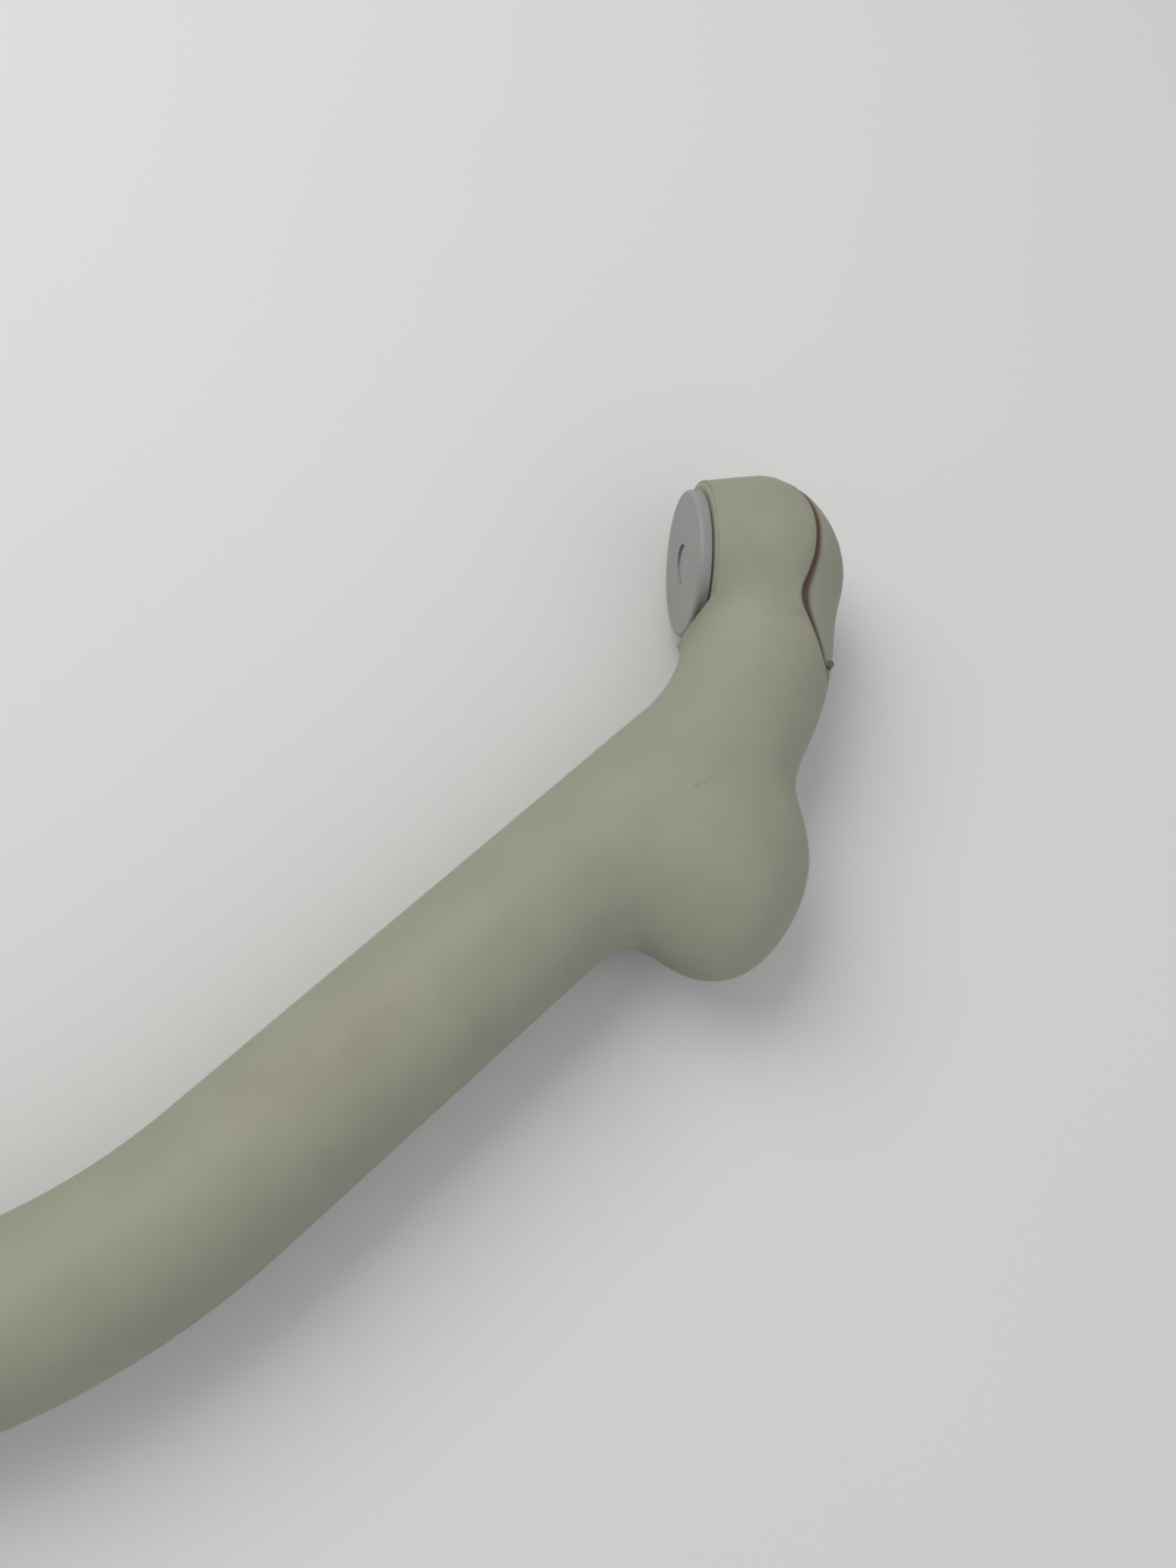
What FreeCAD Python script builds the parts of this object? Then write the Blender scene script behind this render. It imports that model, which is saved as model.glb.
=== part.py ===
import FreeCAD
import Part

import math
import os

from FreeCAD import Vector

# Bow-shaped grab bar. A moulded grip shell covers a bent steel tube, and each end is a boss that
# turns on a flanged hub. Sizes in millimetres.
# X runs across the bar, along both pivots; Y runs from the grip towards the pivots; Z is up.
# The bar lies flat on Z = 0 and is the same on both sides of X = 0.

# Overall sizes
seat_to_seat = 360.0
pivot_to_grip = 115.0
grip_diameter = 24.0
boss_diameter = 30.0

# Line of the bar, from the boss to the middle of the grip
neck_seat_gap = 0.2
neck_length = 24.6
leg_angle = 41.0
shoulder_radius = 35.0
grip_bend_radius = 90.0

# Boss: a tapered barrel on the seat's side and half a ball on the outer side
boss_taper = 2.0

# Heel on the outer side of each shoulder
heel_diameter = 30.0
heel_back = 10.5
heel_down = 25.5
heel_tip_diameter = 18.0
heel_tip_down = 7.0

# Steel core
tube_diameter = 12.0
tube_wall = 1.5
eye_diameter = 18.0
eye_length = 13.0

# Pivot
hub_disc_inset = 1.2
hub_disc_thickness = 2.0
hub_disc_fillet = 0.7
journal_diameter = 12.0
bush_wall = 1.0
thrust_washer_thickness = 1.15
spring_thickness = 0.6
spring_height = 1.25
retaining_washer_thickness = 1.3
screw_diameter = 6.0
screw_head_diameter = 10.5
screw_head_height = 3.0
screw_socket_flats = 4.0
screw_socket_depth = 1.8
screw_tip_recess = 0.4

# Screw cover: round over the pivot, with its narrow end on the neck
cover_rim = 1.8
cover_length = 35.2
cover_end_width = 8.0
cover_corner_radius = 2.0
cover_wall = 2.0
cover_skirt = 2.0
cover_pin_diameter = 1.2
cover_pin_length = 14.0
cover_pin_from_end = 2.2
cover_pin_depth = 1.9
cover_tail_radius = 2.9
knuckle_diameter = 3.8
knuckle_length = 6.0
latch_width = 6.0
latch_length = 1.8
latch_thickness = 1.2

# Clearances
running_clearance = 0.04
axial_play = 0.15
hub_gap = 0.3
hub_rim_gap = 0.5
washer_clearance = 0.3
screw_clearance = 0.2
well_clearance = 0.6
cover_gap = 0.35
cover_under_gap = 0.6
tail_swing_gap = 0.5
tail_side_room = 2.5
latch_swing_room = 0.9

# Sizes and places worked out from those above
neck_from_seat = grip_diameter / 2 + neck_seat_gap
boss_face_radius = boss_diameter / 2 - boss_taper
hub_disc_radius = boss_face_radius - hub_disc_inset
cover_radius = boss_diameter / 2 - cover_rim
axis_height = max(boss_diameter, heel_diameter) / 2
total_depth = pivot_to_grip + boss_diameter / 2 + grip_diameter / 2
pivot_y = total_depth / 2 - boss_diameter / 2
grip_y = pivot_y - pivot_to_grip
shoulder_y = pivot_y - neck_length
seat_x = seat_to_seat / 2
neck_x = seat_x + neck_from_seat
grip_corner_x = neck_x - (shoulder_y - grip_y) / math.tan(math.radians(leg_angle))

# Stack along the pivot, measured outwards from the seat face
disc_back = hub_disc_thickness
shell_face = disc_back + hub_gap
eye_start = disc_back + axial_play + thrust_washer_thickness
eye_end = eye_start + eye_length
journal_end = eye_end + axial_play + spring_height
washer_end = journal_end + retaining_washer_thickness
screw_end = washer_end + screw_head_height
washer_radius = eye_diameter / 2
boss_end = neck_from_seat + boss_diameter / 2

# Cover outline, seen along the pivot, and its hinge under the outer side of the shoulder bend
cover_end_y = pivot_y + cover_radius - cover_length
cover_corner_y = cover_end_y + cover_corner_radius
cover_corner_z = cover_end_width / 2 - cover_corner_radius
pin_y = cover_end_y + cover_pin_from_end
bend_start_y = shoulder_y + shoulder_radius * math.tan(math.radians(90 - leg_angle) / 2)
bend_outer_radius = shoulder_radius + grip_diameter / 2
outer_side = math.sqrt(bend_outer_radius ** 2 - (bend_start_y - pin_y) ** 2) - shoulder_radius
pin_depth = neck_from_seat + outer_side - cover_pin_depth
latch_y = pivot_y + cover_radius - cover_wall
cover_floor = neck_from_seat + math.sqrt((boss_diameter / 2) ** 2 - cover_radius ** 2) - cover_skirt


def corner_arc(before, corner, after, radius):
    """Tangent points, centre and signed turn in degrees of an arc of the given radius at a corner."""
    to_before = (before - corner).normalize()
    to_after = (after - corner).normalize()
    half = to_before.getAngle(to_after) / 2
    reach = radius / math.tan(half)
    centre = corner + (to_before + to_after).normalize() * (radius / math.sin(half))
    side = math.copysign(1, to_after.cross(to_before).z)
    turn = side * (180 - 2 * math.degrees(half))
    return corner + to_before * reach, corner + to_after * reach, centre, turn


def round_face(centre, direction, diameter):
    """A round face across a direction."""
    circle = Part.Circle(centre, direction, diameter / 2).toShape()
    return Part.Face(Part.Wire(circle))


def straight_rod(start, end, diameter):
    return round_face(start, end - start, diameter).extrude(end - start)


def swept_rod(diameter):
    """A solid rod along the bar's centre line, from the right pivot round the grip to the left one."""
    right = [
        Vector(neck_x, pivot_y, axis_height),
        Vector(neck_x, shoulder_y, axis_height),
        Vector(grip_corner_x, grip_y, axis_height),
    ]
    left = [Vector(-p.x, p.y, p.z) for p in reversed(right)]
    points = right + left
    radii = [shoulder_radius, grip_bend_radius, grip_bend_radius, shoulder_radius]
    stretches = []
    here = points[0]
    for before, corner, after, radius in zip(points, points[1:], points[2:], radii):
        start, end, centre, turn = corner_arc(before, corner, after, radius)
        stretches.append(straight_rod(here, start, diameter))
        section = round_face(start, corner - before, diameter)
        stretches.append(section.revolve(centre, Vector(0, 0, 1), turn))
        here = end
    stretches.append(straight_rod(here, points[-1], diameter))
    return stretches[0].fuse(stretches[1:]).removeSplitter()


def mirrored(shape):
    """The same piece on the left side."""
    return shape.mirror(Vector(0, 0, 0), Vector(1, 0, 0))


def disc(radius, start, end):
    """A cylinder along the right pivot between two depths."""
    base = Vector(seat_x + start, pivot_y, axis_height)
    return Part.makeCylinder(radius, end - start, base, Vector(1, 0, 0))


def ring(outer_radius, inner_radius, start, end):
    """A ring along the right pivot between two depths."""
    return disc(outer_radius, start, end).cut(disc(inner_radius, start, end))


def turned(profile):
    """A solid of revolution about the right pivot, from (depth, radius) points."""
    points = [Vector(seat_x + depth, pivot_y + radius, axis_height) for depth, radius in profile]
    face = Part.Face(Part.makePolygon(points + points[:1]))
    return face.revolve(Vector(0, pivot_y, axis_height), Vector(1, 0, 0), 360)


def boss(inset):
    """The boss, a tapered barrel with a round outer end, or its surface moved inwards by an inset."""
    start = shell_face + inset
    radius = boss_diameter / 2 - inset
    along = Vector(1, 0, 0)
    middle = Vector(neck_x, pivot_y, axis_height)
    face_centre = Vector(seat_x + start, pivot_y, axis_height)
    barrel = Part.makeCone(boss_face_radius - inset, radius, neck_from_seat - start, face_centre, along)
    return barrel.fuse(Part.makeSphere(radius, middle, along, 0, 90, 360))


def outer_skin(inset):
    """The boss and the bar together, moved inwards by an inset."""
    return boss(inset).fuse(swept_rod(grip_diameter - 2 * inset))


def heel():
    x = neck_x - heel_back
    y = shoulder_y - heel_down
    body = Part.makeSphere(heel_diameter / 2, Vector(x, y, axis_height))
    tip = Part.makeSphere(heel_tip_diameter / 2, Vector(x, y - heel_tip_down, axis_height))
    return body.fuse(tip)


def cover_outline(offset):
    """A prism along the pivot with the cover's outline, offset outwards, from the cover's rim out."""
    top_radius = cover_radius + offset
    corner_radius = cover_corner_radius + offset
    x = seat_x + cover_floor - max(offset, 0)
    run_y = cover_corner_y - pivot_y
    span = math.hypot(run_y, cover_corner_z)
    turn = math.atan2(cover_corner_z, run_y) - math.acos((top_radius - corner_radius) / span)

    def at(centre_y, centre_z, radius, angle, side):
        return Vector(x, centre_y + radius * math.cos(angle),
                      axis_height + side * (centre_z + radius * math.sin(angle)))

    def side_edges(side):
        top_end = at(pivot_y, 0, top_radius, turn, side)
        low_end = at(cover_corner_y, cover_corner_z, corner_radius, turn, side)
        middle = at(cover_corner_y, cover_corner_z, corner_radius, (turn + math.pi) / 2, side)
        last = at(cover_corner_y, cover_corner_z, corner_radius, math.pi, side)
        straight = Part.LineSegment(top_end, low_end).toShape()
        corner = Part.Arc(low_end, middle, last).toShape()
        return top_end, [straight, corner], last

    front_top, front, front_end = side_edges(1)
    back_top, back, back_end = side_edges(-1)
    top = Vector(x, pivot_y + top_radius, axis_height)
    edges = [Part.Arc(back_top, top, front_top).toShape()] + front + back
    edges.append(Part.LineSegment(front_end, back_end).toShape())
    wire = Part.Wire(Part.__sortEdges__(edges))
    return Part.Face(wire).extrude(Vector(boss_diameter, 0, 0))


def pin_rod(radius, half_length):
    """A rod along the cover's hinge line."""
    start = Vector(seat_x + pin_depth, pin_y, axis_height - half_length)
    return Part.makeCylinder(radius, 2 * half_length, start, Vector(0, 0, 1))


def half_space_below_pin():
    """A block that covers everything on the grip's side of the cover's hinge line."""
    reach = 2 * boss_diameter
    corner = Vector(seat_x + pin_depth - reach / 2, pin_y - reach, axis_height - reach / 2)
    return Part.makeBox(reach, reach, reach, corner)


def latch_block(gap, swing_room):
    """The cover's snap tongue, or with gaps the slot that it swings out of."""
    depth = cover_floor - latch_length - gap
    corner = Vector(seat_x + depth, latch_y - gap, axis_height - latch_width / 2 - gap)
    length = latch_length + cover_wall + gap
    return Part.makeBox(length, latch_thickness + gap + swing_room, latch_width + 2 * gap, corner)


def cover_pin():
    return pin_rod(cover_pin_diameter / 2, cover_pin_length / 2)


def cover_pocket():
    """Room in the boss for the cover, its hinge, its tongue and the screw head under it."""
    recess = cover_outline(cover_gap).cut(outer_skin(cover_wall + cover_under_gap))
    recess = recess.cut(half_space_below_pin())
    tail = pin_rod(cover_tail_radius + tail_swing_gap, cover_end_width / 2 + tail_side_room)
    well = disc(washer_radius + well_clearance, eye_end, boss_end)
    return recess.fuse([tail, well, latch_block(cover_gap, latch_swing_room), cover_pin()])


def bow_shell():
    right = boss(0).fuse(heel())
    body = swept_rod(grip_diameter).fuse([right, mirrored(right)])
    hub_room = disc(hub_disc_radius + hub_rim_gap, -grip_diameter, shell_face)
    inside = disc(eye_diameter / 2, 0, eye_end).fuse([hub_room, cover_pocket()])
    body = body.cut(swept_rod(tube_diameter))
    return body.cut(inside).cut(mirrored(inside)).removeSplitter()


def core_tube():
    tube = swept_rod(tube_diameter).cut(swept_rod(tube_diameter - 2 * tube_wall))
    eye_room = disc(eye_diameter / 2, 0, boss_end)
    return tube.cut(eye_room).cut(mirrored(eye_room))


def end_eye():
    return ring(eye_diameter / 2, journal_diameter / 2 + running_clearance + bush_wall, eye_start, eye_end)


def pivot_bush():
    bore = journal_diameter / 2 + running_clearance
    return ring(bore + bush_wall, bore, eye_start, eye_end)


def thrust_washer():
    return ring(washer_radius, journal_diameter / 2 + washer_clearance, disc_back + axial_play, eye_start)


def pivot_hub():
    plate = disc(hub_disc_radius, 0, disc_back)
    seat_edges = [e for e in plate.Edges if e.BoundBox.XMax < seat_x + hub_disc_thickness / 2]
    plate = plate.makeFillet(hub_disc_fillet, seat_edges)
    body = plate.fuse(disc(journal_diameter / 2, disc_back, journal_end))
    return body.cut(disc(screw_diameter / 2 + screw_clearance, 0, journal_end)).removeSplitter()


def disc_spring():
    inner = journal_diameter / 2 + washer_clearance
    outer = washer_radius - washer_clearance
    base = journal_end - spring_height
    return turned([
        (base, outer),
        (base + spring_thickness, outer),
        (journal_end, inner),
        (journal_end - spring_thickness, inner),
    ])


def retaining_washer():
    return ring(washer_radius, screw_diameter / 2 + screw_clearance, journal_end, washer_end)


def pivot_screw():
    shank = disc(screw_diameter / 2, screw_tip_recess, washer_end)
    head = turned([
        (washer_end, 0),
        (washer_end, screw_head_diameter / 2),
        (washer_end + screw_head_height * 0.35, screw_head_diameter / 2),
        (washer_end + screw_head_height * 0.8, screw_head_diameter * 0.38),
        (screw_end, screw_head_diameter * 0.28),
        (screw_end, 0),
    ])
    circumradius = screw_socket_flats / math.sqrt(3)
    corners = []
    for step in range(7):
        turn = math.radians(60 * step)
        corners.append(Vector(seat_x + screw_end - screw_socket_depth,
                              pivot_y + circumradius * math.cos(turn),
                              axis_height + circumradius * math.sin(turn)))
    socket = Part.Face(Part.makePolygon(corners)).extrude(Vector(screw_socket_depth, 0, 0))
    return shank.fuse(head).cut(socket).removeSplitter()


def screw_cover():
    cap = cover_outline(0).common(outer_skin(0)).cut(outer_skin(cover_wall))
    body = cap.fuse(pin_rod(knuckle_diameter / 2, knuckle_length / 2))
    below = half_space_below_pin()
    tail = body.common(below).common(pin_rod(cover_tail_radius, boss_diameter))
    body = body.cut(below).fuse(tail)
    bore = pin_rod(cover_pin_diameter / 2 + running_clearance, boss_diameter)
    return body.fuse(latch_block(0, 0)).cut(bore).removeSplitter()


def build():
    pieces = {"bow_shell": bow_shell(), "core_tube": core_tube()}
    makers = [end_eye, pivot_bush, thrust_washer, pivot_hub, disc_spring, retaining_washer,
              pivot_screw, screw_cover, cover_pin]
    for maker in makers:
        right = maker()
        pieces[maker.__name__ + "_right"] = right
        pieces[maker.__name__ + "_left"] = mirrored(right)
    os.makedirs("parts", exist_ok=True)
    for name, shape in pieces.items():
        if not shape.isValid() or len(shape.Solids) != 1:
            raise ValueError(name + " is not one closed solid")
        shape.Solids[0].exportStep("parts/" + name + ".step")
        print(name, round(shape.Volume, 1), "mm3")


build()
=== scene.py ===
"""Bow-shaped grab bar: its moulded grip, its two screw covers and the finish of every pivot part.

The grip is one smooth skin around the bent core tube, with a boss at each end and a heel on the
outer side of each shoulder. All lengths are in metres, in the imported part's own frame.
"""

import math

import bmesh
import bpy
import numpy as np
from bpy.props import FloatProperty, FloatVectorProperty, PointerProperty
from mathutils import Matrix, Vector


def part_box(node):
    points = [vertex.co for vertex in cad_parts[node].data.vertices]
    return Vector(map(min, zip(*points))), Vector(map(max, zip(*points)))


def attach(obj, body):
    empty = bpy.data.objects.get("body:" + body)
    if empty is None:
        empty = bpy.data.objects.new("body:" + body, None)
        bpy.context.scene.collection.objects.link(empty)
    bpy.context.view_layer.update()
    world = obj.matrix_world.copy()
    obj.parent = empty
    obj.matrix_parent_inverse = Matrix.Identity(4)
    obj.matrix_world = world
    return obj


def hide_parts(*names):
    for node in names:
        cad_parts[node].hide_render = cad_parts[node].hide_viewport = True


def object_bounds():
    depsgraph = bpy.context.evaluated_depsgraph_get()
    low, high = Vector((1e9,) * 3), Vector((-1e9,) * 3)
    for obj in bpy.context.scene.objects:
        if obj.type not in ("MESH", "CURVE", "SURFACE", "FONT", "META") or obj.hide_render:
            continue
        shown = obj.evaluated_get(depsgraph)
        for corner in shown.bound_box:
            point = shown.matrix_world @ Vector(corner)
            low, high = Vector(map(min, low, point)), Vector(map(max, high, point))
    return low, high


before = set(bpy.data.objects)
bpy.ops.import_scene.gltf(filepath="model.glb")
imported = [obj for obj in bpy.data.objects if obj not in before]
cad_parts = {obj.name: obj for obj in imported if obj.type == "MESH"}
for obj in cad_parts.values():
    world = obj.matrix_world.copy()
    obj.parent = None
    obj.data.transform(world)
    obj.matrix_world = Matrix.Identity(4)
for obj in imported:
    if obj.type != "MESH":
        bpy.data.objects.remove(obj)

bl_info = {
    "name": "Grab bar",
    "version": (1, 0, 0),
    "blender": (4, 5, 0),
    "location": "View3D > Sidebar > Grab bar",
    "description": "Moulded grip, screw covers, finishes and stage for a bow-shaped grab bar",
    "category": "Object",
}

CAD_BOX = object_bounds()
MM = 0.001
SIDES = {"right": 1, "left": -1}

HUB_LOW, HUB_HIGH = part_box("pivot_hub_right")
TUBE_LOW, TUBE_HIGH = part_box("core_tube")
EYE_LOW, EYE_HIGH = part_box("end_eye_right")
PIN_LOW, PIN_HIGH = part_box("cover_pin_right")
TUBE_RADIUS = (TUBE_HIGH.z - TUBE_LOW.z) / 2
SEAT_X = HUB_LOW.x
PIVOT = Vector((TUBE_HIGH.x - TUBE_RADIUS, (HUB_LOW.y + HUB_HIGH.y) / 2, (HUB_LOW.z + HUB_HIGH.z) / 2))
GRIP_Y = TUBE_LOW.y + TUBE_RADIUS
PIN = (PIN_LOW + PIN_HIGH) / 2


def length(name, description, default):
    return FloatProperty(name=name, description=description, default=default, min=0.0, unit="LENGTH")


def colour(name, description, default):
    return FloatVectorProperty(name=name, description=description, default=default, subtype="COLOR",
                               size=3, min=0.0, max=1.0)


class GripSizes(bpy.types.PropertyGroup):
    """Sizes of the moulded grip."""
    diameter: length("Grip diameter", "Thickness of the bar", 23.9 * MM)
    neck_length: length("Neck", "From the pivot to the corner of the shoulder", 24.6 * MM)
    leg_angle: FloatProperty(name="Leg angle", description="Between a leg and the grip", subtype="ANGLE",
                             default=math.radians(41))
    shoulder_radius: length("Shoulder bend", "Radius of the centre line at the shoulder", 35 * MM)
    grip_radius: length("Grip bend", "Radius of the centre line beside the grip", 90 * MM)
    boss_radius: length("Boss radius", "Radius of the boss at the pivot", 14.57 * MM)
    boss_face_radius: length("Boss face", "Radius of the boss at its seat face", 13 * MM)
    dome_radius: length("Dome radius", "Radius of the boss's flatter outer end", 20.2 * MM)
    dome_back: length("Dome back", "From the pivot to the dome's centre, across the bar", 6.2 * MM)
    dome_down: length("Dome down", "From the pivot to the dome's centre, towards the grip", 4.5 * MM)
    heel_radius: length("Heel radius", "Radius of the heel's body", 14.8 * MM)
    heel_back: length("Heel back", "From the pivot to the heel's centre, across the bar", 10.6 * MM)
    heel_down: length("Heel down", "From the pivot to the heel's centre, towards the grip", 49.0 * MM)
    tip_radius: length("Heel tip", "Radius of the heel's blunt end", 7.7 * MM)
    tip_back: length("Tip back", "From the pivot to the blunt end's centre, across the bar", 10.9 * MM)
    tip_down: length("Tip down", "From the pivot to the blunt end's centre, towards the grip", 59.0 * MM)
    blend: length("Blend", "Width of the soft join between the boss and the bar", 5 * MM)
    heel_blend: length("Heel blend", "Width of the soft join between the heel and the bar", 12 * MM)
    mesh_step: length("Mesh step", "Distance between the points of the skin", 0.84 * MM)


class CoverSizes(bpy.types.PropertyGroup):
    """Sizes of a screw cover and its pocket."""
    top: length("Top", "From the pivot to the cover's upper end", 13.2 * MM)
    long: length("Length", "From end to end", 35.2 * MM)
    width: length("Width", "At its middle", 25.0 * MM)
    egg: FloatProperty(name="Egg", description="How much the hinge end narrows", default=0.24)
    blunt: FloatProperty(name="Blunt", description="How square the hinge end is; 2 is an oval", default=3.4)
    wall: length("Wall", "Thickness along the pivot", 1.6 * MM)
    gap: length("Gap", "Between the cover and the grip", 0.35 * MM)
    under_gap: length("Gap below", "Between the cover and the floor of its pocket", 0.8 * MM)
    edge: length("Edge", "Radius of the cover's edge and the pocket's lip", 0.4 * MM)
    knuckle_radius: length("Knuckle", "Radius of the hinge knuckle", 1.45 * MM)
    knuckle_length: length("Knuckle length", "Along the pin", 6 * MM)
    tongue_width: length("Tongue width", "Of the snap tongue", 6 * MM)
    tongue_length: length("Tongue length", "Below the cover's rim", 1.8 * MM)
    tongue_thickness: length("Tongue thickness", "Of the snap tongue", 1.2 * MM)


class Finishes(bpy.types.PropertyGroup):
    """Colours of the grip, the covers and the pivot parts."""
    grip: colour("Grip", "Moulded grip and covers", (0.280, 0.280, 0.216))
    smudge: colour("Smudge", "Worn-in stain on the leg", (0.27, 0.19, 0.12))
    # Painted shade: a dark brown that is put into the narrow gap round the cover, where shade falls.
    seam: colour("Seam", "Painted shade in the gap round the cover", (0.075, 0.045, 0.032))
    hub: colour("Hub", "Hub disc", (0.275, 0.275, 0.268))
    steel: colour("Steel", "Tube, eyes, springs, pins and screws", (0.56, 0.56, 0.55))
    bush: colour("Bush", "Plain bearing bushes and thrust washers", (0.30, 0.21, 0.10))


class StageLook(bpy.types.PropertyGroup):
    """Camera, floor and light."""
    camera_from_pivot: FloatVectorProperty(name="Camera", description="Place, from the right pivot",
                                           subtype="TRANSLATION", default=(-0.0570, -0.0901, 0.1679))
    heading: FloatProperty(name="Heading", description="From the Y axis towards X", subtype="ANGLE",
                           default=math.radians(28.36))
    pitch: FloatProperty(name="Pitch", description="Below the horizon", subtype="ANGLE",
                         default=math.radians(70.50))
    roll: FloatProperty(name="Roll", description="Anticlockwise turn about the line of sight",
                        subtype="ANGLE", default=math.radians(1.02))
    lens: FloatProperty(name="Lens", description="Focal length in millimetres", default=27.07)
    floor_size: length("Floor", "Width of the floor", 6.0)
    floor: colour("Floor colour", "Pale matt floor", (0.66, 0.66, 0.655))
    key_power: FloatProperty(name="Key light", description="Watts", default=4.1)
    sky_strength: FloatProperty(name="Sky", description="Strength of the light from all round", default=0.47)


class GrabBar(bpy.types.PropertyGroup):
    """Everything that a user would change."""
    grip: PointerProperty(type=GripSizes)
    cover: PointerProperty(type=CoverSizes)
    finish: PointerProperty(type=Finishes)
    stage: PointerProperty(type=StageLook)


# Forms

def soft_min(a, b, width):
    """The smaller of two distances, with a soft join of the given width."""
    near = np.maximum(width - np.abs(a - b), 0) / width
    return np.minimum(a, b) - near ** 3 * width / 6


def run_distance(x, y, start, end):
    """Distance in plan from a straight run."""
    along = end - start
    share = ((x - start[0]) * along[0] + (y - start[1]) * along[1]) / (along @ along)
    share = np.clip(share, 0, 1)
    return np.hypot(x - start[0] - share * along[0], y - start[1] - share * along[1])


class Bend:
    """A bend of the centre line where two runs meet."""

    def __init__(self, before, corner, after, radius):
        to_before = (before - corner) / np.linalg.norm(before - corner)
        to_after = (after - corner) / np.linalg.norm(after - corner)
        half = math.acos(np.clip(to_before @ to_after, -1, 1)) / 2
        middle = (to_before + to_after) / np.linalg.norm(to_before + to_after)
        self.radius = radius
        self.start = corner + to_before * (radius / math.tan(half))
        self.end = corner + to_after * (radius / math.tan(half))
        self.centre = corner + middle * (radius / math.sin(half))
        self.outwards = -middle
        self.half_turn = math.pi / 2 - half

    def distance(self, x, y):
        """Distance in plan from the bend, or far away past its ends."""
        dx, dy = x - self.centre[0], y - self.centre[1]
        reach = np.hypot(dx, dy)
        facing = dx * self.outwards[0] + dy * self.outwards[1] >= reach * math.cos(self.half_turn)
        return np.where(facing, np.abs(reach - self.radius), np.inf)

    def points(self, count):
        """Points along the bend, from its start to its end."""
        first = math.atan2(*(self.start - self.centre)[::-1])
        last = math.atan2(*(self.end - self.centre)[::-1])
        turn = (last - first + math.pi) % (2 * math.pi) - math.pi
        angles = first + turn * np.linspace(0, 1, count)
        return self.centre + self.radius * np.stack([np.cos(angles), np.sin(angles)], 1)


class Grip:
    """The grip's outer form, as a distance that is negative inside. The left side mirrors the right."""

    def __init__(self, sizes):
        self.sizes = sizes
        self.top = np.array([PIVOT.x, PIVOT.y])
        self.shoulder = np.array([PIVOT.x, PIVOT.y - sizes.neck_length])
        drop = self.shoulder[1] - GRIP_Y
        self.corner = np.array([PIVOT.x - drop / math.tan(sizes.leg_angle), GRIP_Y])
        self.middle = np.array([0.0, GRIP_Y])
        self.upper = Bend(self.top, self.shoulder, self.corner, sizes.shoulder_radius)
        self.lower = Bend(self.shoulder, self.corner, self.middle, sizes.grip_radius)

    def line_points(self, run_step):
        """Points along the centre line, from the right pivot to the middle of the grip."""
        def run(start, end):
            count = max(2, int(np.linalg.norm(end - start) / run_step))
            return start + (end - start) * np.linspace(0, 1, count)[:-1, None]
        return np.concatenate([run(self.top, self.upper.start), self.upper.points(16)[:-1],
                               run(self.upper.end, self.lower.start), self.lower.points(16)[:-1],
                               run(self.lower.end, self.middle), self.middle[None]])

    def bar(self, x, y, z):
        plan = np.minimum.reduce([
            run_distance(x, y, self.top, self.upper.start),
            self.upper.distance(x, y),
            run_distance(x, y, self.upper.end, self.lower.start),
            self.lower.distance(x, y),
            run_distance(x, y, self.lower.end, self.middle - np.array([PIVOT.x, 0])),
        ])
        return np.hypot(plan, z - PIVOT.z) - self.sizes.diameter / 2

    def boss(self, x, y, z):
        """A ball on the outer side and a tapered barrel towards the seat."""
        depth = x - PIVOT.x
        around = np.hypot(y - PIVOT.y, z - PIVOT.z)
        ball = np.hypot(depth, around) - self.sizes.boss_radius
        slope = (self.sizes.boss_radius - self.sizes.boss_face_radius) / (PIVOT.x - SEAT_X)
        barrel = (around - self.sizes.boss_radius - slope * depth) / math.hypot(1, slope)
        barrel = np.maximum(barrel, SEAT_X - x)
        centre = (PIVOT.x - self.sizes.dome_back, PIVOT.y - self.sizes.dome_down, PIVOT.z)
        dome = ball_distance(x, y, z, centre, self.sizes.dome_radius)
        rim_round = 1.5 * MM
        return -soft_min(-np.where(depth > 0, ball, barrel), -dome, rim_round)

    def heel(self, x, y, z):
        """The heel's body and its blunt tip."""
        sizes = self.sizes
        centre = (PIVOT.x - sizes.heel_back, PIVOT.y - sizes.heel_down, PIVOT.z)
        tip_centre = (PIVOT.x - sizes.tip_back, PIVOT.y - sizes.tip_down, PIVOT.z)
        body = ball_distance(x, y, z, centre, sizes.heel_radius)
        return soft_min(body, ball_distance(x, y, z, tip_centre, sizes.tip_radius), sizes.heel_blend)

    def skin(self, x, y, z):
        x = np.abs(x)
        head = soft_min(self.bar(x, y, z), self.boss(x, y, z), self.sizes.blend)
        return soft_min(head, self.heel(x, y, z), self.sizes.heel_blend)

    def outer_x(self, y, z):
        """Where a ray along -X first meets the skin on the right side."""
        x = np.full(np.shape(y), PIVOT.x + 1.5 * self.sizes.boss_radius)
        for _ in range(60):
            x = np.maximum(x - self.skin(x, y, z), PIVOT.x)
        return x


def ball_distance(x, y, z, centre, radius):
    return np.sqrt((x - centre[0]) ** 2 + (y - centre[1]) ** 2 + (z - centre[2]) ** 2) - radius


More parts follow.
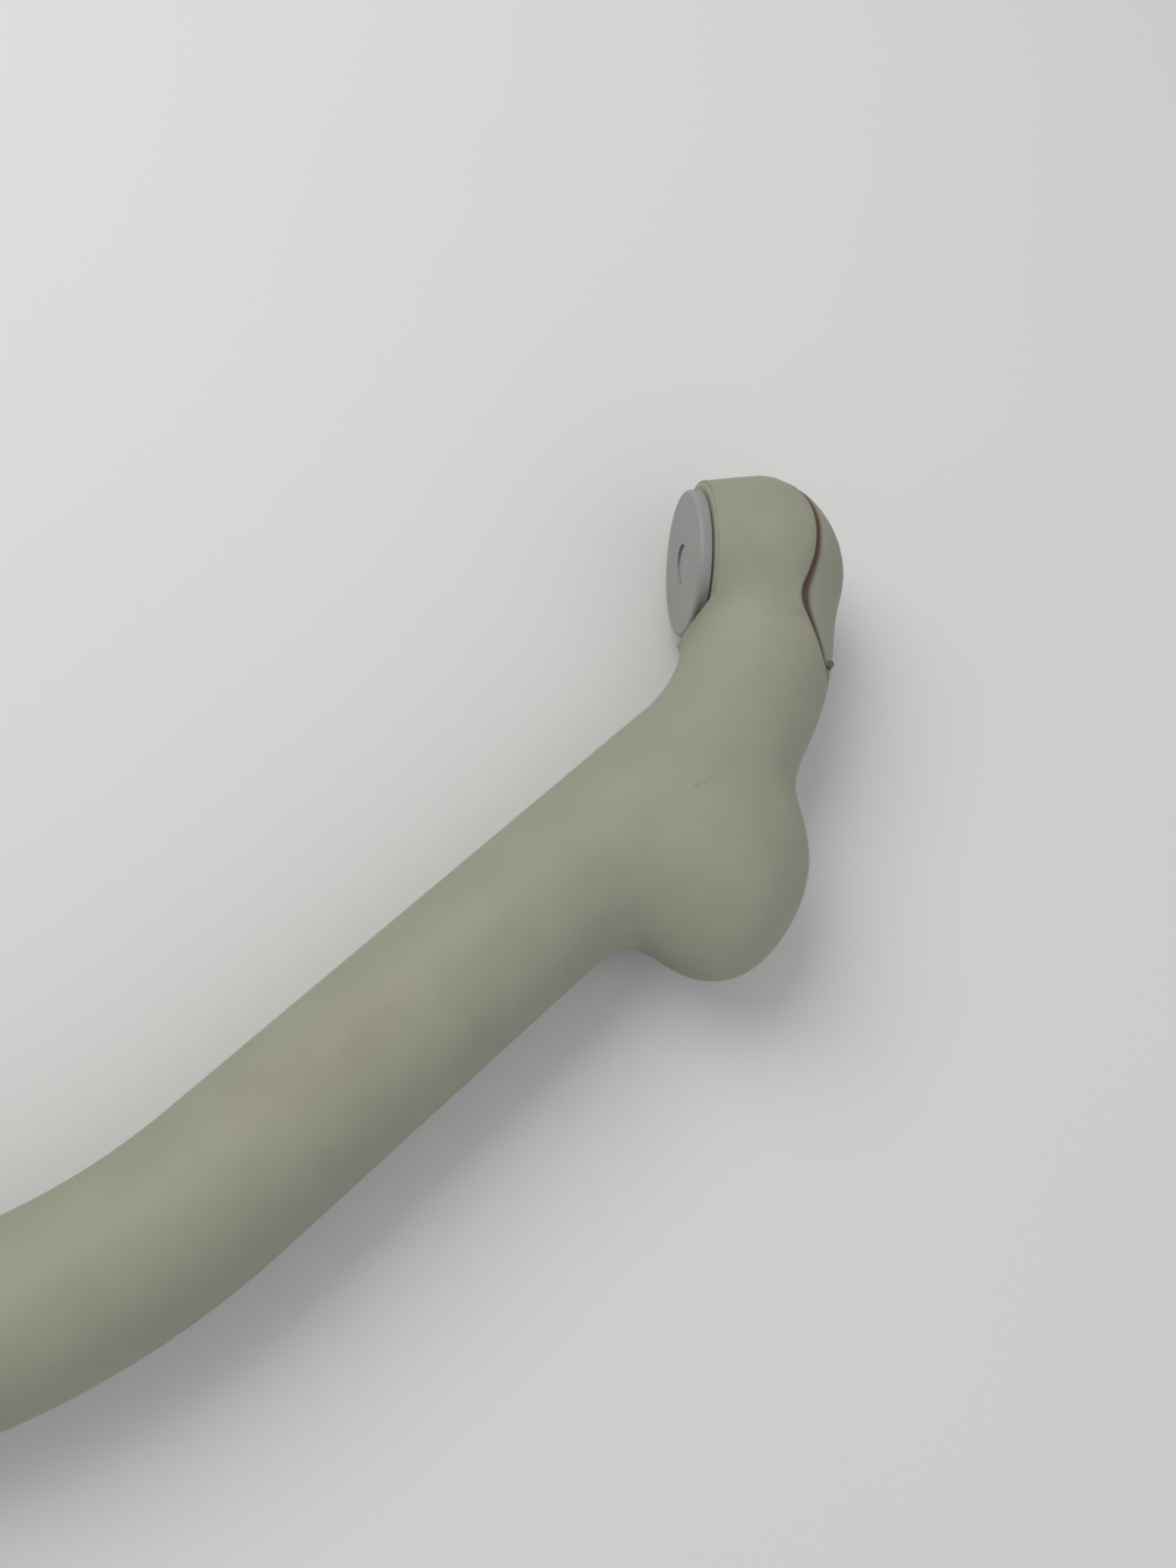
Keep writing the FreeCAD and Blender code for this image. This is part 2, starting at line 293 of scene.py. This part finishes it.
def skin_mesh(field, low, high, step):
    """Points and quads of the closed surface where the field is zero, one point per crossed cell."""
    axes = [np.arange(low[i], high[i] + step, step) for i in range(3)]
    inside = field(*np.meshgrid(*axes, indexing="ij")) < 0
    corners = np.zeros([n - 1 for n in inside.shape], int)
    for shift in np.ndindex(2, 2, 2):
        corners += inside[tuple(slice(s, s + n) for s, n in zip(shift, corners.shape))]
    crossed = (corners > 0) & (corners < 8)
    number = np.full(crossed.shape, -1)
    number[crossed] = np.arange(crossed.sum())
    points = np.stack([axes[i][where] for i, where in enumerate(np.nonzero(crossed))], 1) + step / 2
    quads = []
    for axis in range(3):
        ends = np.moveaxis(inside, axis, 0)
        cells = np.moveaxis(number, axis, 0)
        first, last = ends[:-1, 1:-1, 1:-1], ends[1:, 1:-1, 1:-1]
        ring = np.stack([cells[:, :-1, :-1], cells[:, 1:, :-1], cells[:, 1:, 1:], cells[:, :-1, 1:]], -1)
        quads.append(ring[first & ~last])
        quads.append(ring[~first & last][:, ::-1])
    return settle(field, points, 5), np.concatenate(quads)


def settle(field, points, rounds):
    """Moves points along the field's slope on to its zero surface."""
    reach = 0.02 * MM
    for _ in range(rounds):
        slope = np.empty_like(points)
        for axis in range(3):
            shift = np.zeros(3)
            shift[axis] = reach
            slope[:, axis] = (field(*(points + shift).T) - field(*(points - shift).T)) / (2 * reach)
        points = points - slope * (field(*points.T) / (slope ** 2).sum(1))[:, None]
    return points


class Oval:
    """The cover's egg-shaped outline, seen along the pivot, with its narrow end at the hinge."""

    def __init__(self, sizes, count=192):
        self.sizes = sizes
        self.centre = np.array([PIVOT.y + sizes.top - sizes.long / 2, PIVOT.z])
        self.angles = np.linspace(0, 2 * math.pi, count, endpoint=False)

    def points(self, offset):
        """(y, z) points round the outline, moved outwards by an offset."""
        power = 2 / np.where(np.cos(self.angles) < 0, self.sizes.blunt, 2)
        share = np.sign(np.cos(self.angles)) * np.abs(np.cos(self.angles)) ** power
        wide = np.sign(np.sin(self.angles)) * np.abs(np.sin(self.angles)) ** power
        y = share * self.sizes.long / 2
        z = wide * (1 + self.sizes.egg * share) * self.sizes.width / 2
        dy = np.roll(y, -1) - np.roll(y, 1)
        dz = np.roll(z, -1) - np.roll(z, 1)
        run = np.hypot(dy, dz)
        return self.centre + np.stack([y + offset * dz / run, z - offset * dy / run], 1)

    def end_y(self, z):
        """The outline's lowest y at a height, near its hinge end."""
        outline = self.points(0)
        low = outline[outline[:, 0] < self.centre[0]]
        low = low[np.argsort(low[:, 1])]
        return np.interp(z, low[:, 1], low[:, 0])


# Meshes

def new_piece(name, points, faces):
    mesh = bpy.data.meshes.new(name)
    mesh.from_pydata([tuple(p) for p in points], [], [tuple(f) for f in faces])
    mesh.validate()
    piece = bpy.data.objects.new(name, mesh)
    bpy.context.scene.collection.objects.link(piece)
    outward(piece)
    return piece


def outward(piece):
    """Makes every face of a closed mesh look outwards."""
    form = bmesh.new()
    form.from_mesh(piece.data)
    bmesh.ops.recalc_face_normals(form, faces=form.faces)
    form.to_mesh(piece.data)
    form.free()


def ringed(name, rings):
    """A closed piece from rings of points, with a fan over the first and the last."""
    count = len(rings[0])
    points = np.concatenate([rings[0].mean(0)[None]] + list(rings) + [rings[-1].mean(0)[None]])
    faces = [(0, 1 + i, 1 + (i + 1) % count) for i in range(count)]
    for level in range(len(rings) - 1):
        base = 1 + level * count
        for i in range(count):
            j = (i + 1) % count
            faces.append((base + i, base + count + i, base + count + j, base + j))
    base = 1 + (len(rings) - 1) * count
    faces += [(len(points) - 1, base + (i + 1) % count, base + i) for i in range(count)]
    return new_piece(name, points, faces)


def lathe(name, profile, centre, axis, count):
    """A closed piece turned about a line along an axis, from (place along it, radius) points."""
    turns = np.linspace(0, 2 * math.pi, count, endpoint=False)
    others = [i for i in range(3) if i != axis]
    rings = []
    for along, radius in profile:
        ring = np.tile(np.array(centre, float), (count, 1))
        ring[:, axis] += along
        ring[:, others[0]] += radius * np.cos(turns)
        ring[:, others[1]] += radius * np.sin(turns)
        rings.append(ring)
    return ringed(name, rings)


def block(name, low, high):
    """A plain block between two corners, used only to cut or to join."""
    form = bmesh.new()
    middle = (Vector(low) + Vector(high)) / 2
    size = Vector(high) - Vector(low)
    bmesh.ops.create_cube(form, size=1.0, matrix=Matrix.Translation(middle) @ Matrix.Diagonal((*size, 1)))
    bmesh.ops.bevel(form, geom=form.edges, offset=0.2 * MM, segments=2, affect="EDGES", profile=0.5)
    mesh = bpy.data.meshes.new(name)
    form.to_mesh(mesh)
    form.free()
    piece = bpy.data.objects.new(name, mesh)
    bpy.context.scene.collection.objects.link(piece)
    return piece


def combine(piece, tool, operation):
    """Joins, cuts or keeps what two closed pieces share, and removes the tool."""
    modifier = piece.modifiers.new(operation.lower(), "BOOLEAN")
    modifier.operation = operation
    modifier.solver = "EXACT"
    modifier.object = tool
    graph = bpy.context.evaluated_depsgraph_get()
    made = bpy.data.meshes.new_from_object(piece.evaluated_get(graph))
    piece.modifiers.clear()
    piece.data = made
    bpy.data.objects.remove(tool)
    if not made.polygons:
        raise RuntimeError(piece.name + " lost its mesh in a " + operation.lower())


def mirrored(piece, name):
    """The same piece on the left side."""
    mesh = piece.data.copy()
    mesh.transform(Matrix.Diagonal((-1, 1, 1, 1)))
    mesh.flip_normals()
    copy = bpy.data.objects.new(name, mesh)
    bpy.context.scene.collection.objects.link(copy)
    return copy


def both_halves(piece):
    """Keeps the piece's right half and mirrors it on to the left, welded at the middle."""
    form = bmesh.new()
    form.from_mesh(piece.data)
    geometry = form.verts[:] + form.edges[:] + form.faces[:]
    bmesh.ops.bisect_plane(form, geom=geometry, plane_co=(0, 0, 0), plane_no=(-1, 0, 0), clear_outer=True)
    geometry = form.verts[:] + form.edges[:] + form.faces[:]
    copy = bmesh.ops.duplicate(form, geom=geometry)["geom"]
    copied = [item for item in copy if isinstance(item, bmesh.types.BMVert)]
    for vertex in copied:
        vertex.co.x = -vertex.co.x
    bmesh.ops.reverse_faces(form, faces=[item for item in copy if isinstance(item, bmesh.types.BMFace)])
    middle = [vertex for vertex in form.verts if abs(vertex.co.x) < 1e-6]
    bmesh.ops.remove_doubles(form, verts=middle, dist=1e-6)
    form.to_mesh(piece.data)
    form.free()


def smooth(piece, sharp_angle):
    piece.data.shade_smooth()
    piece.data.set_sharp_from_angle(angle=sharp_angle)


# Finishes

class Wire:
    """An output in a shader, so that maths on it is written as a Python expression."""

    def __init__(self, shader, socket):
        self.shader = shader
        self.socket = socket

    def maths(self, operation, first, second):
        return self.shader.node("ShaderNodeMath", {"operation": operation}, {0: first, 1: second})

    def __add__(self, other):
        return self.maths("ADD", self, other)

    def __mul__(self, other):
        return self.maths("MULTIPLY", self, other)

    def __rsub__(self, other):
        return self.maths("SUBTRACT", other, self)

    __radd__ = __add__
    __rmul__ = __mul__


class Shader:
    """A material whose nodes are made by one method."""

    def __init__(self, name):
        self.material = bpy.data.materials.new(name)
        self.material.use_nodes = True
        self.tree = self.material.node_tree
        self.tree.nodes.clear()

    def node(self, kind, settings=None, inputs=None, output=0):
        """Adds a node, sets it up, fills or links its inputs and returns one of its outputs."""
        made = self.tree.nodes.new(kind)
        for key, value in (settings or {}).items():
            if key == "stops":
                for element, (place, shade) in zip(made.color_ramp.elements, value):
                    element.position = place
                    element.color = (shade, shade, shade, 1)
            else:
                setattr(made, key, value)
        for key, value in (inputs or {}).items():
            if isinstance(value, Wire):
                self.tree.links.new(value.socket, made.inputs[key])
            else:
                made.inputs[key].default_value = value
        return Wire(self, made.outputs[output]) if made.outputs else None

    def place(self):
        return self.node("ShaderNodeTexCoord", output="Object")

    def noise(self, size, detail=2.0, roughness=0.5, stretch=(1, 1, 1)):
        """Noise from 0 to 1 whose features are about the given size across, in metres."""
        place = self.node("ShaderNodeMapping", inputs={"Vector": self.place(), "Scale": stretch})
        return self.node("ShaderNodeTexNoise", inputs={
            "Vector": place, "Scale": 1 / size, "Detail": detail, "Roughness": roughness})

    def ramp(self, value, low, high):
        """0 below low, 1 above high."""
        return self.node("ShaderNodeValToRGB", {"stops": [(low, 0), (high, 1)]}, {0: value})

    def mix(self, factor, first, second):
        """Between two colours."""
        return self.node("ShaderNodeMix", {"data_type": "RGBA"}, {0: factor, 6: first, 7: second}, 2)

    def attribute(self, name):
        return self.node("ShaderNodeAttribute", {"attribute_name": name}, output="Fac")

    def spot(self, centre, radii, tilt):
        """1 in the middle of an oval patch, fading to 0 at its edge."""
        moved = self.node("ShaderNodeMapping", {"vector_type": "TEXTURE"}, {
            "Vector": self.place(), "Location": centre, "Rotation": (0, 0, tilt), "Scale": radii})
        reach = self.node("ShaderNodeVectorMath", {"operation": "LENGTH"}, {0: moved}, "Value")
        return 1 - self.ramp(reach, 0.15, 1.0)

    def finish(self, colour, roughness, height, distance, metallic=0.0, specular=0.5, coat=0.0):
        bump = self.node("ShaderNodeBump", inputs={"Strength": 1.0, "Distance": distance, "Height": height})
        surface = self.node("ShaderNodeBsdfPrincipled", inputs={
            "Base Color": colour, "Roughness": roughness, "Metallic": metallic, "Normal": bump,
            "Specular IOR Level": specular, "Coat Weight": coat})
        self.node("ShaderNodeOutputMaterial", inputs={"Surface": surface})
        return self.material


def opaque(shade):
    return (*shade, 1.0)


def moulded_grip(look, name):
    """Matt moulded plastic, finely grained, softly mottled, stained where hands have been, with shade
    painted dark into the gap round the cover.
    """
    shader = Shader(name)
    base = opaque(look.grip)
    lighter = opaque([c * 1.07 for c in look.grip])
    darker = opaque([c * 0.90 for c in look.grip])
    cloud = shader.noise(9 * MM, 3.0)
    shade = shader.mix(shader.ramp(cloud, 0.35, 0.7), darker, lighter)
    shade = shader.mix(0.55, shade, base)
    speck = shader.ramp(shader.noise(0.35 * MM, 2.0), 0.62, 0.75)
    shade = shader.mix(speck * 0.12, shade, darker)
    stain = shader.spot((PIVOT.x - 66 * MM, PIVOT.y - 78 * MM, PIVOT.z + 11 * MM),
                        (17 * MM, 5 * MM, 14 * MM), math.radians(38))
    stain = stain * shader.ramp(shader.noise(6 * MM, 4.0, 0.65), 0.30, 0.75)
    shade = shader.mix(stain * 0.55, shade, opaque(look.smudge))
    scuff = shader.spot((PIVOT.x - 15 * MM, PIVOT.y - 42 * MM, PIVOT.z + 14 * MM),
                        (2.6 * MM, 0.8 * MM, 8 * MM), math.radians(35))
    scuff = scuff * shader.ramp(shader.noise(0.8 * MM, 3.0), 0.42, 0.6)
    shade = shader.mix(scuff * 0.5, shade, opaque([c * 0.55 for c in look.grip]))
    # Painted shade: the grip and the cover are darkened inside the gap round the cover, most deeply inside
    # it.
    shade = shader.mix(shader.attribute("painted_gap_shade"), shade, opaque(look.seam))
    fine = shader.noise(0.28 * MM, 3.0, 0.6)
    soft = shader.noise(2.2 * MM, 2.0)
    height = fine * 0.6 + soft * 0.4
    roughness = 0.52 + cloud * 0.12
    return shader.finish(shade, roughness, height, 0.035 * MM, specular=0.35)


def hub_finish(look):
    """Painted casting: neutral grey, a little smoother than the grip."""
    shader = Shader("hub_grey")
    cloud = shader.noise(5 * MM, 3.0)
    shade = shader.mix(shader.ramp(cloud, 0.3, 0.75), opaque([c * 0.93 for c in look.hub]), opaque(look.hub))
    roughness = 0.42 + cloud * 0.12
    return shader.finish(shade, roughness, shader.noise(0.25 * MM, 3.0), 0.02 * MM, specular=0.4)


def turned_metal(name, tint, rough, grain, stretch):
    """Machined or drawn metal with fine tool marks and faint dull patches."""
    shader = Shader(name)
    marks = shader.noise(grain, 3.0, 0.6, stretch)
    cloud = shader.noise(4 * MM, 2.0)
    shade = shader.mix(shader.ramp(cloud, 0.3, 0.8), opaque([c * 0.8 for c in tint]), opaque(tint))
    roughness = rough + cloud * 0.15
    return shader.finish(shade, roughness, marks, 0.008 * MM, metallic=1.0)


def screw_finish(look):
    """Plated steel; the tip, which shows in the hub's face, is painted with the hub."""
    shader = Shader("plated_screw")
    x = shader.node("ShaderNodeSeparateXYZ", inputs={"Vector": shader.place()})
    out = shader.node("ShaderNodeMath", {"operation": "ABSOLUTE"}, {0: x})
    tip = shader.node("ShaderNodeMath", {"operation": "LESS_THAN"}, {0: out, 1: SEAT_X + 2 * MM})
    shade = shader.mix(tip, opaque(look.steel), opaque(look.hub))
    marks = shader.noise(0.3 * MM, 3.0)
    return shader.finish(shade, 0.28 + tip * 0.2, marks, 0.008 * MM, metallic=1 - tip)


def paint(piece, material):
    piece.data.materials.clear()
    piece.data.materials.append(material)


def repaint(node, material):
    """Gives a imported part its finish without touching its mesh."""
    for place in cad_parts[node].material_slots:
        place.link = "OBJECT"
        place.material = material
    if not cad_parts[node].material_slots:
        raise RuntimeError(node + " has no material slot")


def paint_shade_in_gap(piece, oval, sizes, grip):
    """Marks where shade is painted into the gap round the cover: darkest deep inside it, fading at its lips.
    """
    points = np.empty(len(piece.data.vertices) * 3)
    piece.data.vertices.foreach_get("co", points)
    points = points.reshape(-1, 3)
    x, plan = np.abs(points[:, 0]), points[:, 1:]
    near = (x > PIVOT.x - 5 * MM) & (plan[:, 0] > PIN.y - 6 * MM)
    painted_gap_shade = np.zeros(len(points))
    outline = oval.points(sizes.gap / 2)
    spots = plan[near]
    reach = np.sqrt(((spots[:, None] - outline[None]) ** 2).sum(2)).min(1)
    depth = grip.outer_x(spots[:, 0], spots[:, 1]) - x[near]
    in_gap = np.clip(1 - (reach - 0.3 * MM) / (0.4 * MM), 0, 1) * np.clip(depth / (0.35 * MM), 0, 1)
    in_gap *= np.clip((sizes.wall + sizes.under_gap + 1 * MM - depth) / (0.5 * MM), 0, 1)
    painted_gap_shade[near] = np.clip(in_gap, 0, 1)
    attribute = piece.data.attributes.new("painted_gap_shade", "FLOAT", "POINT")
    attribute.data.foreach_set("value", painted_gap_shade.astype(np.float32))


# Pieces

def at_depth(grip, plan, depth):
    """Points under the skin by a depth along the pivot, at (y, z) places."""
    return np.column_stack([grip.outer_x(plan[:, 0], plan[:, 1]) - depth, plan])


def inner_rings(grip, oval, outline, drop, shares):
    """Rings over the pocket's floor or the cover's inside, from the outline to the middle."""
    rings = []
    for share in shares:
        plan = oval.centre + (outline - oval.centre) * share
        rings.append(at_depth(grip, plan, drop))
    return rings


SHARES = [0.97, 0.9, 0.8, 0.68, 0.55, 0.42, 0.3, 0.18, 0.08, 0.02]


def pocket_tool(grip, sizes, oval):
    """The cover's room in the boss, with a rounded lip that flares out through the skin."""
    lip_turns = np.radians([60, 45, 30, 15, 0])
    flare = 1.0 * MM
    end = lip_turns[0]
    start_offset = sizes.gap + sizes.edge * (1 - math.cos(end)) + flare * math.sin(end)
    start_depth = sizes.edge * (1 - math.sin(end)) - flare * math.cos(end)
    rings = [at_depth(grip, oval.points(start_offset), start_depth)]
    for turn in lip_turns:
        plan = oval.points(sizes.gap + sizes.edge * (1 - math.cos(turn)))
        rings.append(at_depth(grip, plan, sizes.edge * (1 - math.sin(turn))))
    drop = sizes.wall + sizes.under_gap
    outline = oval.points(sizes.gap)
    floor = inner_rings(grip, oval, outline, drop, [1.0] + SHARES)
    hinge_depth, hinge_reach = 2.9 * MM, 2 * MM
    for ring in floor:
        near = np.clip((PIN.y + hinge_depth + hinge_reach - ring[:, 1]) / hinge_reach, 0, 1)
        ring[:, 0] += near * np.minimum(PIN.x - hinge_depth - ring[:, 0], 0)
    rings += floor
    cap = rings[0].copy()
    cap[:, 1:] = oval.centre + (cap[:, 1:] - oval.centre) * 0.9
    cap[:, 0] = PIVOT.x + grip.sizes.boss_radius + 4 * MM
    return ringed("pocket", [cap] + rings)


def hinge_room(grip, sizes, oval):
    """Room round the hinge pin for the cover's tail to swing through."""
    half_width = 7.0 * MM
    profile = []
    for z in np.linspace(-half_width, half_width, 31):
        skin = float(grip.outer_x(np.array([PIN.y]), np.array([PIN.z + z]))[0]) - PIN.x
        tail = min(float(oval.end_y(PIN.z + z)) - PIN.y, 0)
        profile.append((z, math.hypot(max(skin, 0), tail) + sizes.gap))
    return lathe("hinge_room", profile, PIN, 2, 48)


def tongue_block(grip, sizes, gap, swing_room):
    """The snap tongue, or the slot that it swings out of."""
    y = PIVOT.y + sizes.top - 1.8 * sizes.tongue_thickness
    half = sizes.tongue_width / 2 + gap
    outer = np.array([[y + sizes.tongue_thickness, PIVOT.z + sizes.tongue_width / 2]])
    top = at_depth(grip, outer, sizes.wall / 2)[0][0]
    low = (top - sizes.wall / 2 - sizes.tongue_length - gap, y - gap, PIVOT.z - half)
    high = (top, y + sizes.tongue_thickness + swing_room, PIVOT.z + half)
    return block("tongue", low, high)


def pivot_tool(grip):
    """Seat face with a rounded edge, the bore for the eye and the well over the screw head."""
    face = SEAT_X + 2.3 * MM
    edge = 0.6 * MM
    well_step = 0.6 * MM
    past_skin = 30 * MM
    face_radius = grip.sizes.boss_face_radius
    outer = face_radius + edge
    profile = [(SEAT_X - past_skin, outer), (face + edge * 0.5, outer)]
    for turn in np.radians([62, 45, 30, 15, 0]):
        profile.append((face + edge * (1 - math.cos(turn)), face_radius - edge * (1 - math.sin(turn))))
    bore = (EYE_HIGH.z - EYE_LOW.z) / 2
    well = bore + well_step
    profile += [(face, bore), (EYE_HIGH.x, bore), (EYE_HIGH.x, well), (HUB_HIGH.x + past_skin, well)]
    return lathe("pivot", profile, (0, PIVOT.y, PIVOT.z), 0, 96)


def tube_bore(grip):
    """A rod along the centre line, past the middle of the grip."""
    line = grip.line_points(6 * MM)
    past_middle = 20 * MM
    line = np.concatenate([line, [[-past_middle, GRIP_Y]]])
    along = np.gradient(line, axis=0)
    along /= np.linalg.norm(along, axis=1)[:, None]
    turns = np.linspace(0, 2 * math.pi, 40, endpoint=False)
    rings = []
    for place, way in zip(line, along):
        ring = np.empty((len(turns), 3))
        ring[:, 0] = place[0] + TUBE_RADIUS * np.cos(turns) * way[1]
        ring[:, 1] = place[1] - TUBE_RADIUS * np.cos(turns) * way[0]
        ring[:, 2] = PIVOT.z + TUBE_RADIUS * np.sin(turns)
        rings.append(ring)
    return ringed("tube_bore", rings)


class GRABBAR_OT_grip(bpy.types.Operator):
    """Moulds the grip shell, with its pockets, bores and seat faces"""
    bl_idname = "grabbar.grip"
    bl_label = "Grip shell"

    def execute(self, context):
        settings = context.scene.grab_bar
        grip = Grip(settings.grip)
        oval = Oval(settings.cover)
        margin = 2 * MM
        low = (-6 * MM, CAD_BOX[0].y - margin, CAD_BOX[0].z - margin)
        high = (CAD_BOX[1].x + margin, CAD_BOX[1].y + margin, CAD_BOX[1].z + margin)
        points, quads = skin_mesh(grip.skin, low, high, settings.grip.mesh_step)
        shell = new_piece("grip_shell", points, quads)
        tool = pocket_tool(grip, settings.cover, oval)
        combine(tool, hinge_room(grip, settings.cover, oval), "UNION")
        swing_room = 0.9 * MM
        combine(tool, tongue_block(grip, settings.cover, settings.cover.gap, swing_room), "UNION")
        combine(tool, pivot_tool(grip), "UNION")
        combine(tool, tube_bore(grip), "UNION")
        combine(shell, tool, "DIFFERENCE")
        both_halves(shell)
        # Paints shade into the gap round the cover.
        paint_shade_in_gap(shell, oval, settings.cover, grip)
        smooth(shell, math.radians(40))
        paint(shell, moulded_grip(settings.finish, "moulded_grip"))
        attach(shell, "bow")
        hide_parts("bow_shell")
        return {"FINISHED"}


class GRABBAR_OT_covers(bpy.types.Operator):
    """Moulds the two hinged screw covers"""
    bl_idname = "grabbar.covers"
    bl_label = "Screw covers"

    def execute(self, context):
        settings = context.scene.grab_bar
        sizes = settings.cover
        grip = Grip(settings.grip)
        oval = Oval(sizes)
        outline = oval.points(0)
        rings = []
        inset_outline = oval.points(-sizes.edge)
        for share in reversed(SHARES):
            rings.append(at_depth(grip, oval.centre + (inset_outline - oval.centre) * share, 0))
        for turn in np.radians([0, 18, 36, 54, 72, 90]):
            plan = oval.points(-sizes.edge * (1 - math.sin(turn)))
            rings.append(at_depth(grip, plan, sizes.edge * (1 - math.cos(turn))))
        chamfer = 0.3 * MM
        inside = inner_rings(grip, oval, outline, sizes.wall - chamfer, [1.0])
        inside += inner_rings(grip, oval, oval.points(-chamfer), sizes.wall, [1.0] + SHARES)
        cover = ringed("cover_right", rings + inside)
        half = sizes.knuckle_length / 2
        corner = 0.2 * MM
        knuckle = [(-half, sizes.knuckle_radius - corner), (corner - half, sizes.knuckle_radius),
                   (half - corner, sizes.knuckle_radius), (half, sizes.knuckle_radius - corner)]
        combine(cover, lathe("knuckle", knuckle, PIN, 2, 32), "UNION")
        combine(cover, tongue_block(grip, sizes, 0, 0), "UNION")
        pin_clearance = 0.04 * MM
        bore = (PIN_HIGH.x - PIN_LOW.x) / 2 + pin_clearance
        combine(cover, lathe("bore", [(-9 * MM, bore), (9 * MM, bore)], PIN, 2, 24), "DIFFERENCE")
        # Paints shade on the cover's edge inside the gap.
        paint_shade_in_gap(cover, oval, sizes, grip)
        smooth(cover, math.radians(40))
        material = moulded_grip(settings.finish, "moulded_cover")
        paint(cover, material)
        left = mirrored(cover, "cover_left")
        for side, piece in (("right", cover), ("left", left)):
            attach(piece, "cover_" + side)
            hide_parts("screw_cover_" + side)
        return {"FINISHED"}


class GRABBAR_OT_pivots(bpy.types.Operator):
    """Finishes the core tube and the parts of both pivots"""
    bl_idname = "grabbar.pivots"
    bl_label = "Core and pivots"

    def execute(self, context):
        look = context.scene.grab_bar.finish
        drawn = turned_metal("drawn_steel", look.steel, 0.35, 0.4 * MM, (0.1, 1, 1))
        sprung = turned_metal("spring_steel", [c * 0.6 for c in look.steel], 0.28, 0.3 * MM, (1, 1, 1))
        plated = turned_metal("plated_steel", look.steel, 0.22, 0.3 * MM, (0.1, 1, 1))
        pin = turned_metal("pin_steel", [c * 0.35 for c in look.steel], 0.35, 0.2 * MM, (1, 1, 0.1))
        bearing = turned_metal("bearing_bronze", look.bush, 0.4, 0.3 * MM, (1, 1, 1))
        repaint("core_tube", drawn)
        for side in SIDES:
            repaint("end_eye_" + side, drawn)
            repaint("pivot_bush_" + side, bearing)
            repaint("thrust_washer_" + side, bearing)
            repaint("pivot_hub_" + side, hub_finish(look))
            repaint("disc_spring_" + side, sprung)
            repaint("retaining_washer_" + side, plated)
            repaint("pivot_screw_" + side, screw_finish(look))
            repaint("cover_pin_" + side, pin)
        return {"FINISHED"}


class GRABBAR_OT_stage(bpy.types.Operator):
    """Sets the floor, the soft light and the camera"""
    bl_idname = "grabbar.stage"
    bl_label = "Stage"

    def execute(self, context):
        look = context.scene.grab_bar.stage
        scene = context.scene
        scene.view_settings.view_transform = "Standard"
        bpy.ops.mesh.primitive_plane_add(size=look.floor_size, location=(PIVOT.x, PIVOT.y, CAD_BOX[0].z))
        floor = context.object
        floor.name = "floor"
        shader = Shader("pale_floor")
        cloud = shader.noise(0.12, 2.0)
        shade = shader.mix(cloud, opaque([c * 0.97 for c in look.floor]), opaque(look.floor))
        paint(floor, shader.finish(shade, 0.6, shader.noise(0.8 * MM, 2.0), 0.01 * MM, specular=0.2))
        add_light("key", look.key_power, 0.55, (-0.42, 0.30, 0.62), (1.0, 0.985, 0.955))
        add_light("fill", look.key_power * 0.35, 0.9, (0.35, -0.45, 0.55), (0.94, 0.97, 1.0))
        world = bpy.data.worlds.new("sky")
        world.use_nodes = True
        sky = world.node_tree.nodes["Background"]
        sky.inputs["Color"].default_value = (0.97, 0.985, 1.0, 1.0)
        sky.inputs["Strength"].default_value = look.sky_strength
        scene.world = world
        add_camera(look)
        return {"FINISHED"}


def add_light(name, power, size, offset, tint):
    """A square soft light, aimed at the right pivot."""
    lamp = bpy.data.lights.new(name, "AREA")
    lamp.energy = power
    lamp.size = size
    lamp.color = tint
    light = bpy.data.objects.new(name, lamp)
    light.location = PIVOT + Vector(offset)
    light.rotation_euler = (-Vector(offset)).to_track_quat("-Z", "Y").to_euler()
    bpy.context.scene.collection.objects.link(light)


def add_camera(look):
    """Looks down along the heading, turned so that the X axis runs level in the picture."""
    camera = bpy.data.objects.new("camera", bpy.data.cameras.new("camera"))
    camera.data.lens = look.lens
    camera.data.clip_start = 0.005
    flat = math.cos(look.pitch)
    forward = Vector((math.sin(look.heading) * flat, math.cos(look.heading) * flat, -math.sin(look.pitch)))
    across = Vector((1, 0, 0))
    across = (across - across.dot(forward) * forward).normalized()
    up = across.cross(forward)
    turn = Matrix((across, up, -forward)).transposed() @ Matrix.Rotation(look.roll, 3, "Z")
    camera.matrix_world = Matrix.Translation(PIVOT + Vector(look.camera_from_pivot)) @ turn.to_4x4()
    bpy.context.scene.collection.objects.link(camera)
    bpy.context.scene.camera = camera


class GRABBAR_PT_panel(bpy.types.Panel):
    """Lists the sizes, the finishes and the operators."""
    bl_idname = "GRABBAR_PT_panel"
    bl_label = "Grab bar"
    bl_space_type = "VIEW_3D"
    bl_region_type = "UI"
    bl_category = "Grab bar"

    def draw(self, context):
        settings = context.scene.grab_bar
        for group in (settings.grip, settings.cover, settings.finish, settings.stage):
            box = self.layout.box()
            for name in group.__annotations__:
                box.prop(group, name)
        for operator in OPERATORS:
            self.layout.operator(operator.bl_idname)


OPERATORS = (GRABBAR_OT_grip, GRABBAR_OT_covers, GRABBAR_OT_pivots, GRABBAR_OT_stage)
CLASSES = (GripSizes, CoverSizes, Finishes, StageLook, GrabBar, *OPERATORS, GRABBAR_PT_panel)


def register():
    for item in CLASSES:
        bpy.utils.register_class(item)
    bpy.types.Scene.grab_bar = PointerProperty(type=GrabBar)


def unregister():
    del bpy.types.Scene.grab_bar
    for item in reversed(CLASSES):
        bpy.utils.unregister_class(item)


def main():
    register()
    bpy.ops.grabbar.grip()
    bpy.ops.grabbar.covers()
    bpy.ops.grabbar.pivots()
    bpy.ops.grabbar.stage()


if __name__ == "__main__":
    main()
